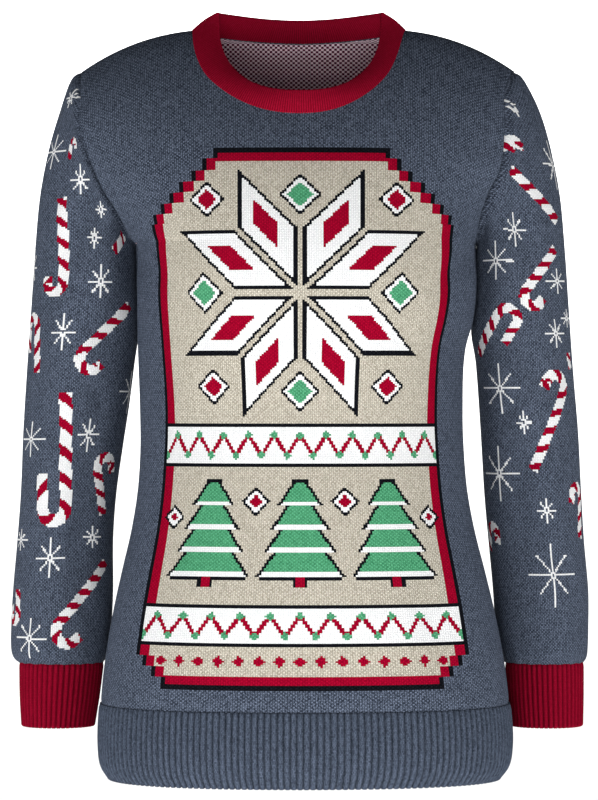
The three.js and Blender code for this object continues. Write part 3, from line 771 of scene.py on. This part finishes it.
def around(side, x, z):
    """How far round the sleeve a place in the front view is, from the middle of its front."""
    section = np.linspace(0, 15, 301)
    outer = side * along(SLEEVE, "out_x", section) + along(SLEEVE, "out_lean", section)
    inner = side * along(SLEEVE, "in_x", section) + along(SLEEVE, "in_lean", section)
    share = np.clip((x - inner) / (outer - inner), 0.01, 0.99)
    top, bottom = along(SLEEVE, "out_z", section), along(SLEEVE, "in_z", section)
    height = bottom + (top - bottom) * share
    share_here = np.interp(-z, -height, share)
    return SLEEVE_RADIUS * (math.acos(2 * share_here - 1) - math.pi / 2)


def wrapped(distance):
    """A distance round the sleeve, taken the shorter way."""
    whole = 2 * math.pi * SLEEVE_RADIUS
    return (distance + whole / 2) % whole - whole / 2


def knit_flake(chart, across, up, reach_across, reach_up):
    """A snowflake with eight arms, each one stitch wide, round a small open middle."""
    far = np.hypot(across / reach_across, up / reach_up)
    slant = up * reach_across / reach_up
    upright = (np.abs(across) < 0.95) & (far < 1)
    level = (np.abs(up) < 0.8) & (far < 1)
    diagonal = (np.abs(np.abs(across) - np.abs(slant)) < 1) & (far < 0.88)
    chart[(upright | level | diagonal) & (far > 1.3 / reach_across)] = YARNS["white"]


def knit_cane(chart, across, up, length, radius, past, width, stripe):
    """A striped cane: a shaft up to its length, half a ring and a straight end past that."""
    side = across * (1 if radius >= 0 else -1)
    ring = abs(radius)
    shaft = (up > 0) & (up <= length) & (np.abs(side) < width / 2)
    hook = (up > length) & (np.abs(np.hypot(side - ring, up - length) - ring) < width / 2)
    tail = (up > length - past) & (up <= length) & (np.abs(side - 2 * ring) < width / 2)
    turned = np.arctan2(up - length, ring - side)
    path = np.where(up > length, length + ring * turned, up)
    path = np.where(tail & ~shaft, length + math.pi * ring + (length - up), path)
    inward = np.where(hook, ring - np.hypot(side - ring, up - length), side)
    inside = shaft | tail | (hook & (ring > 0))
    place = ((path + 0.8 * inward) / stripe) % 1
    chart[inside] = YARNS["red"]
    chart[inside & (place > 0.4)] = YARNS["white"]


def sleeve_chart(side, turn, z):
    """The yarn of each stitch of a sleeve. The same motifs are knit once more at the back."""
    chart = np.zeros(turn.shape, dtype=int)
    place = SLEEVE_RADIUS * (turn - math.pi / 2)
    wale = 2 * math.pi * SLEEVE_RADIUS / SLEEVE_WALES
    for shift, lift in ((0, 0), (math.pi * SLEEVE_RADIUS, -24)):
        for x, middle_z, reach_across, reach_up in FLAKES[side]:
            middle = (math.floor(around(side, x, middle_z) / wale) + 0.5) * wale
            across = wrapped(place - middle - shift)
            # Near its edge the sleeve turns away, so what shows narrow there is wide on the cloth
            turned_away = abs(around(side, x + 2, middle_z) - around(side, x - 2, middle_z)) / 4
            reach_round = reach_across * min(turned_away, 1.6)
            knit_flake(chart, across, z - middle_z - lift, reach_round, reach_up)
        for x, start_z, end_x, end_z, radius, past, width, stripe in CANES[side]:
            start, end = around(side, x, start_z), around(side, end_x, end_z)
            # The outer edge is at the viewer's left on the right sleeve, and at the right on the left
            run, rise = (end - start) * -side, end_z - start_z
            length = math.hypot(run, rise)
            across, up = wrapped(place - start - shift) * -side, z - start_z - lift
            forward = (across * run + up * rise) / length
            aside = (across * rise - up * run) / length
            knit_cane(chart, aside, forward, length, radius, past, width, stripe)
    return chart


# %% Stitches of a sleeve
CAP_TUCK = 1.8
UNDERARM_TUCK = 3.2
UNDERARM_REACH = 36
CUFF_GATHER = 0.35
CUFF_GATHERS = 17
GATHER_LENGTH = 14
# The same columns as on the body, but the place is a turn in degrees, with the front at 90
SLEEVE_FOLDS = {
    -1: [
        (95, -165, 26, 66, 14, 9),
        (116, -375, 3, 185, 17, 4.5),
        (120, -262, 38, 46, 12, 3.5),
        (70, -352, -48, 50, 13, 3),
        (105, -452, 34, 48, 12, 2.5),
        (265, -300, 40, 60, 14, 3.5),
        (60, -230, 30, 40, 8, 1.6),
        (110, -318, -40, 36, 7, 1.5),
        (80, -410, 40, 36, 7, 1.3),
        (120, -505, -35, 30, 7, 1.4),
        (55, -520, 30, 26, 6, 1.2),
        (250, -380, -40, 50, 9, 1.6),
    ],
    1: [
        (100, -165, 26, 62, 14, 7),
        (112, -400, 4, 150, 16, 3.6),
        (96, -292, 46, 52, 13, 4),
        (84, -372, -42, 52, 12, 3),
        (70, -470, 38, 46, 12, 2.5),
        (262, -318, 36, 62, 14, 3.5),
        (60, -240, 34, 40, 8, 1.6),
        (115, -335, -38, 36, 7, 1.5),
        (110, -430, 36, 36, 7, 1.3),
        (75, -515, -30, 30, 7, 1.4),
        (250, -400, -40, 50, 9, 1.6),
    ],
}


def sleeve_piece(side, name):
    """A sleeve from the armhole to the cuff, in level rows of stitches."""
    columns = SLEEVE_WALES + 1
    turn = -side * np.linspace(0, 2 * math.pi, columns)
    sections = np.linspace(0, 15, 301)
    lines = sleeve_point(side, sections[:, None], turn[None, :])
    steps = np.linalg.norm(np.diff(lines, axis=0), axis=-1)
    from_cuff = np.concatenate([np.cumsum(steps[::-1], axis=0)[::-1], np.zeros((1, columns))])
    rows = math.ceil(from_cuff[0].max() / COURSE)
    heights = np.linspace(rows * COURSE, 0, rows + 1)
    found = np.stack(
        [np.interp(heights, from_cuff[::-1, j], sections[::-1]) for j in range(columns)], axis=1
    )
    turns = np.broadcast_to(turn, found.shape)
    points = sleeve_point(side, found, turns)

    def at(section, angle):
        return sleeve_point(side, section, angle)

    normals = outward(at, np.clip(found, 0.02, 14.98), turns, -side)
    to_armhole = np.clip(from_cuff[0][None, :] - heights[:, None], 0, None)
    to_cuff = heights[:, None] + 0 * turns
    shown = turns % (2 * math.pi)
    folds = 0
    for place, up, tilt, half_length, half_width, depth in SLEEVE_FOLDS[side]:
        apart = (np.degrees(shown) - place + 180) % 360 - 180
        across = np.radians(apart) * SLEEVE_RADIUS
        folds = folds + pressed_in([(0, up, tilt, half_length, half_width, depth)], across, points[..., 2])
    calm = smooth_step(0, 40, to_armhole) * smooth_step(0, 30, to_cuff)
    tuck = SEAM_TUCK * np.exp(-((to_armhole / SEAM_WIDTH) ** 2))
    gather = CUFF_GATHER * np.cos(CUFF_GATHERS * turns + side) * np.exp(-((to_cuff / GATHER_LENGTH) ** 2))
    points = points - normals * (folds * calm + tuck + gather)[..., None]
    # The cap's edge goes under the panels, as it does in a sewn seam
    underarm = smooth_step(0.8, 1, -np.cos(turns)) * np.exp(-((to_armhole / UNDERARM_REACH) ** 2))
    cap = np.exp(-((to_armhole / SEAM_WIDTH) ** 2))
    points[..., 0] -= side * (CAP_TUCK * cap + UNDERARM_TUCK * underarm)
    middle = (turns[1:, 1:] + turns[1:, :-1]) / 2 % (2 * math.pi)
    z = (points[1:, 1:, 2] + points[:-1, :-1, 2]) / 2
    yarns = sleeve_chart(side, middle, z)
    points[:, -1] = points[:, 0]
    piece = cloth(name, points, normals, CLOTH_WALL, yarns, jacquard, closed=True)
    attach(piece, "root")
    return piece


for side, word in ((-1, "right"), (1, "left")):
    sleeve = sleeve_piece(side, f"{word}_sleeve")
    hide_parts(f"sleeve_{word}")

# %% [markdown]
# ## Ribs
# Ribbing is knit in turns of plain and purl columns. The plain ones stand out as cords and the
# purl ones sink between them, which is why it stretches and grips. Its section is a loop: down
# the outside, round the open edge and up the inside, where the cords sit in the other gaps.

# %% Ribbed pieces
WIDE_RIB_WALES = 4
FINE_RIB_WALES = 2
WIDE_RIB = {"hollow": 0.6, "rib": WIDE_RIB_WALES, "checker": 0}
FINE_RIB = {"hollow": 0.7, "rib": FINE_RIB_WALES, "checker": 0}
rib_slate = yarn("slate melange acrylic rib", "#323b49", "#697488", speckle=0.7, **WIDE_RIB)
rib_red = yarn("deep red acrylic rib", "#8c0723", "#ae1234", haze=0.03, **WIDE_RIB)
# The neckband's red is painted lighter than the cuffs' red: painted light, which makes up for the shade the
# band gets under the low lamps.
band_red_painted_lighter = yarn("deep red acrylic fine rib painted lighter", "#a50928", "#ca1a40", haze=0.03, **FINE_RIB)
RIB_STEPS = 6
RIM_STEPS = 5


def rib_height(phase):
    """Height of a cord over its gap, from 0 to 1, at a count of ribs."""
    return np.abs(np.cos(math.pi * phase)) ** 0.5


def ribbed(name, base, normals, end, wall, relief, ribs, wales, course, material, closed):
    """Ribbed knit on a base grid. end is the direction in which its open edge points."""
    rows, columns = base.shape[:2]
    phase = np.linspace(0, ribs, columns)
    height = rib_height(phase)[:, None]
    inner_height = rib_height(phase + 0.5)[:, None]
    outside = base + normals * (relief * height)[None]
    inside = base - normals * (wall + 0.6 * relief * inner_height)[None]
    angle = np.linspace(0, math.pi, RIM_STEPS + 2)[1:-1]
    middle = (outside[-1] + inside[-1]) / 2
    half = (outside[-1] - inside[-1]) / 2
    reach = np.linalg.norm(half, axis=-1, keepdims=True)
    rim = np.stack([middle + half * math.cos(a) + end * reach * math.sin(a) for a in angle])
    loop = np.concatenate([outside, rim, inside[::-1], outside[:1]])
    down = np.arange(rows) * course
    counts_down = np.concatenate([down, down[-1] + 0.3 * np.arange(1, RIM_STEPS + 1), down[::-1], down[:1]])
    # Inside, the cords are those that sink outside, half a rib further on
    round_rim = np.linspace(0, 0.5, RIM_STEPS + 2)[1:-1]
    shift = np.concatenate([np.zeros(rows), round_rim, np.full(rows, 0.5), [0]])
    counts_across = (phase[None, :] + shift[:, None]) * wales
    counts = np.stack([counts_across, np.broadcast_to(counts_down[:, None], counts_across.shape)], axis=-1)
    counts = counts.reshape(-1, 2)
    faces = [tuple(face) for face in grid_faces(len(loop), columns)]
    if not closed:
        index = np.arange(len(loop) * columns).reshape(len(loop), columns)
        faces.append(tuple(index[:-1, 0]))
        faces.append(tuple(index[:-1, -1][::-1]))
    slots = np.zeros(len(faces), dtype=int)
    piece = make_mesh(name, loop.reshape(-1, 3), faces, counts, slots, [material])
    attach(piece, "root")
    return piece


# %% [markdown]
# The hem rib is in the body's own yarn, and turns in a little at its lower edge, because ribs
# pull together once they end. Its cords are 5.6 mm apart, counted along the cloth.

# %% Hem rib
HEM_RIBS = 84
# Stitch rows to each row of faces
HEM_COURSE = 1.15
RIB_SEAM_WIDTH = 2.5


def hem_rib(face, name):
    columns = HEM_RIBS * RIB_STEPS + 1
    rows = 38
    drops = np.linspace(HEM_SEAM - 0.6, HEM_END - 1.4, rows)
    # Places that are evenly spaced along the cloth, from the middle to the side
    shares = np.linspace(0, 1, 401)
    line = body_point(face, 1, np.full(401, (HEM_SEAM + HEM_END) / 2), shares)
    reached = np.concatenate([[0], np.cumsum(np.linalg.norm(np.diff(line, axis=0), axis=-1))])
    even = np.linspace(-1, 1, columns)
    across = np.sign(even) * np.interp(np.abs(even) * reached[-1], reached, shares) * -FORWARD[face]
    side = np.where(across < 0, -1, 1)
    drop, share = np.meshgrid(drops, np.abs(across), indexing="ij")
    points = body_point(face, side[None, :], drop, share)

    def at(a, b):
        return body_point(face, side[None, :], a, b)

    normals = outward(at, drop, np.clip(share, 0.004, 0.996), side[None, :] * -FORWARD[face])
    tuck = SEAM_TUCK * np.exp(-(((drop - HEM_SEAM) / RIB_SEAM_WIDTH) ** 2))
    points = points - normals * tuck[..., None]
    end = np.array([0, 0, -1.0])
    return ribbed(
        name,
        points,
        normals,
        end,
        RIB_WALL,
        RIB_RELIEF,
        HEM_RIBS,
        WIDE_RIB_WALES,
        HEM_COURSE,
        rib_slate,
        closed=False,
    )


for face in ("front", "back"):
    rib = hem_rib(face, f"{face}_hem")
    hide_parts(f"hem_rib_{face}")

# %% [markdown]
# The cuffs are tubes of red rib, narrower than the sleeve, so that the sleeve puffs a little
# over them. Their cords are 4.7 mm apart, and the tube narrows to the hand.

# %% Cuffs
CUFF_RIBS = 46
CUFF_COURSE = 1.1
CUFF_RELIEF = RIB_RELIEF * 0.9


def cuff(side, name):
    columns = CUFF_RIBS * RIB_STEPS + 1
    rows = 36
    turn = -side * np.linspace(0, 2 * math.pi, columns)
    share = np.linspace(-0.012, 0.976, rows)

    def at(place, angle):
        out_x = side * along(CUFF, "out_x", place) + along(CUFF, "out_lean", place)
        in_x = side * along(CUFF, "in_x", place) + along(CUFF, "in_lean", place)
        x = (out_x + in_x) / 2 + (out_x - in_x) / 2 * np.cos(angle)
        y = CUFF_Y - along(CUFF, "reach", place) * np.sin(angle)
        return np.stack([x, y, -CUFF_SEAM - place * (CUFF_END - CUFF_SEAM)], axis=-1)

    place, angle = np.meshgrid(share, turn, indexing="ij")
    points = at(place, angle)
    normals = outward(at, np.clip(place, 0.02, 0.98), angle, -side)
    down = (place - share[0]) * (CUFF_END - CUFF_SEAM)
    points = points - normals * (SEAM_TUCK * np.exp(-((down / RIB_SEAM_WIDTH) ** 2)))[..., None]
    points[:, -1], normals[:, -1] = points[:, 0], normals[:, 0]
    end = np.array([0, 0, -1.0])
    return ribbed(
        name,
        points,
        normals,
        end,
        RIB_WALL,
        CUFF_RELIEF,
        CUFF_RIBS,
        WIDE_RIB_WALES,
        CUFF_COURSE,
        rib_red,
        closed=True,
    )


for side, word in ((-1, "right"), (1, "left")):
    band = cuff(side, f"{word}_cuff")
    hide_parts(f"cuff_{word}")

# %% [markdown]
# The neckband is a fine rib, one plain to one purl, folded over double and sewn all round the
# neckline. It leans in towards the neck. Its lower edge follows the cut of the panels, and its
# upper edge an egg-shaped ring that is low in front.

# %% Neckband
NECKBAND_RIBS = 250
BAND_TOP = {"half_width": 72, "front": 74, "back": 27, "up": 14.5, "back_down": 6, "front_down": 61}
BAND_BULGE = 1.2
BAND_CORNER = 0.8
BAND_CORNER_POWER = 8
BAND_COURSE = 1.1
# The band's upper edge is a little squarer than the neckline
BAND_SQUARER = 0.3
BACK_DIP_POWER = 2.4


def neck_seam(turn):
    """Seam of the neckband at a turn from the right side (0) over the front (pi / 2)."""
    shares = np.linspace(0, NECK_SHARE, 400)
    across = width_share(shares, SHOULDER_SECTION_ANGLE)
    share = np.interp(np.abs(np.cos(turn)), across / across[-1], shares)
    side = np.where(np.cos(turn) < 0, 1, -1)
    front_half = np.sin(turn) >= 0
    seam = {face: body_point(face, side, neck_drop(face, share), share) for face in ("front", "back")}
    return np.where(front_half[:, None], seam["front"], seam["back"])


def neckband(name):
    columns = NECKBAND_RIBS * 4 + 1
    fine = np.linspace(0, 2 * math.pi, 2881)
    lengths = np.linalg.norm(np.diff(neck_seam(fine), axis=0), axis=-1)
    reached = np.concatenate([[0], np.cumsum(lengths)])
    turn = np.interp(np.linspace(0, reached[-1], columns), reached, fine)
    seam = neck_seam(turn)
    across, middle = np.cos(turn), np.abs(np.sin(turn))
    front_half = np.sin(turn) >= 0
    roundness = NECK_ROUNDNESS["front"] + BAND_SQUARER
    low = (1 - np.abs(across) ** roundness).clip(0) ** (1 / roundness)
    top_y = np.where(front_half, -BAND_TOP["front"] * middle, BAND_TOP["back"] * middle)
    front_fall = (BAND_TOP["up"] + BAND_TOP["front_down"]) * low
    fall = np.where(front_half, front_fall, BAND_TOP["back_down"] * middle**BACK_DIP_POWER)
    fall = fall + BAND_CORNER * np.abs(across) ** BAND_CORNER_POWER
    top = np.stack([-BAND_TOP["half_width"] * across, top_y, BAND_TOP["up"] - fall], axis=-1)
    share = np.linspace(-0.05, 0.95, 16)[:, None, None]
    points = seam + (top - seam) * share
    rise = top - seam
    upward = rise / np.linalg.norm(rise, axis=-1, keepdims=True)
    along_seam = np.roll(seam[:-1], -1, axis=0) - np.roll(seam[:-1], 1, axis=0)
    along_seam = np.concatenate([along_seam, along_seam[:1]])
    normal = np.cross(along_seam, upward)
    normal /= np.linalg.norm(normal, axis=-1, keepdims=True)
    points = points + normal * (BAND_BULGE * np.sin(math.pi * share.clip(0, 1)))
    points[:, -1] = points[:, 0]
    normals = np.broadcast_to(normal, points.shape)
    # The open edge is the upper one, so the rows run up and the columns are turned round
    points, normals = points[:, ::-1], normals[:, ::-1]
    return ribbed(
        name,
        points,
        normals,
        upward[::-1],
        NECKBAND_WALL,
        NECKBAND_RELIEF,
        NECKBAND_RIBS,
        FINE_RIB_WALES,
        BAND_COURSE,
        band_red_painted_lighter,
        closed=True,
    )


band = neckband("neck_band")
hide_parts("neckband")

# %% [markdown]
# ## Studio
# The light is plain and soft: low panels in front, on each side and behind, and a pale room that
# fills the shadows. As in the photo, the chest and shoulders, which look up, are a little
# darker. The floor and the backdrop are pale, and far enough off to take no shadow.


# %% Floor and backdrop
def plain_sheet(name, size, place, tilt):
    bpy.ops.mesh.primitive_plane_add(size=size, location=place, rotation=tilt)
    sheet = bpy.context.object
    sheet.name = name
    paper = bpy.data.materials.new("matt white paper")
    paper.use_nodes = True
    shader = paper.node_tree.nodes["Principled BSDF"]
    shader.inputs["Base Color"].default_value = linear("#f7f7f7")
    shader.inputs["Roughness"].default_value = 0.9
    sheet.data.materials.append(paper)
    return sheet


plain_sheet("floor", 9, (0, 0, -2.4), (0, 0, 0))
plain_sheet("backdrop", 24, (0, 8, 0), (math.pi / 2, 0, 0))


# %% Lights
def soft_light(name, place, aim, size, power):
    lamp = bpy.data.lights.new(name, "AREA")
    lamp.shape = "SQUARE"
    lamp.size = size
    lamp.energy = power
    holder = bpy.data.objects.new(name, lamp)
    holder.location = place
    direction = np.array(aim) - np.array(place)
    yaw = math.atan2(direction[1], direction[0]) - math.pi / 2
    pitch = math.atan2(direction[2], math.hypot(direction[0], direction[1]))
    holder.rotation_euler = (math.pi / 2 + pitch, 0, yaw)
    bpy.context.collection.objects.link(holder)
    return holder


soft_light("front panel", (-0.3, -2.8, -1.1), (0, 0, -0.45), 1.5, 46)
soft_light("left panel", (-2.3, -1.7, -1.4), (0, 0, -0.4), 1.5, 82)
soft_light("right panel", (2.3, -1.7, -1.4), (0, 0, -0.4), 1.5, 82)
soft_light("back panel", (0, 3.6, -2.2), (0, 0, -0.4), 1.6, 70)
soft_light("backdrop light", (0, 6.2, 2.8), (0, 8, -0.4), 2.5, 500)
world = bpy.data.worlds.new("white room")
bpy.context.scene.world = world
world.use_nodes = True
world.node_tree.nodes["Background"].inputs["Color"].default_value = (1, 1, 1, 1)
world.node_tree.nodes["Background"].inputs["Strength"].default_value = 0.16
bpy.context.scene.view_settings.view_transform = "Standard"

# %% [markdown]
# ## Camera
# The photo was taken from some metres away and level with the waist: the front of the hem hangs
# a little lower in it than the sides, and the back of the neckband sits lower than its sides.

# %% Camera at the photo's viewing angle
CAMERA_DISTANCE = 3.3
PIXEL = 0.00088
IMAGE_HEIGHT = 800
IMAGE_WIDTH = 598
ORIGIN_PIXEL = (300, 28)
camera_data = bpy.data.cameras.new("camera")
camera_data.sensor_width = 36
camera_data.lens = 36 * CAMERA_DISTANCE / (IMAGE_HEIGHT * PIXEL)
camera = bpy.data.objects.new("camera", camera_data)
camera.location = (
    (IMAGE_WIDTH / 2 - ORIGIN_PIXEL[0]) * PIXEL,
    -CAMERA_DISTANCE,
    (ORIGIN_PIXEL[1] - IMAGE_HEIGHT / 2) * PIXEL,
)
camera.rotation_euler = (math.pi / 2, 0, 0)
bpy.context.collection.objects.link(camera)
bpy.context.scene.camera = camera
print("lens:", round(camera_data.lens, 1), "mm")
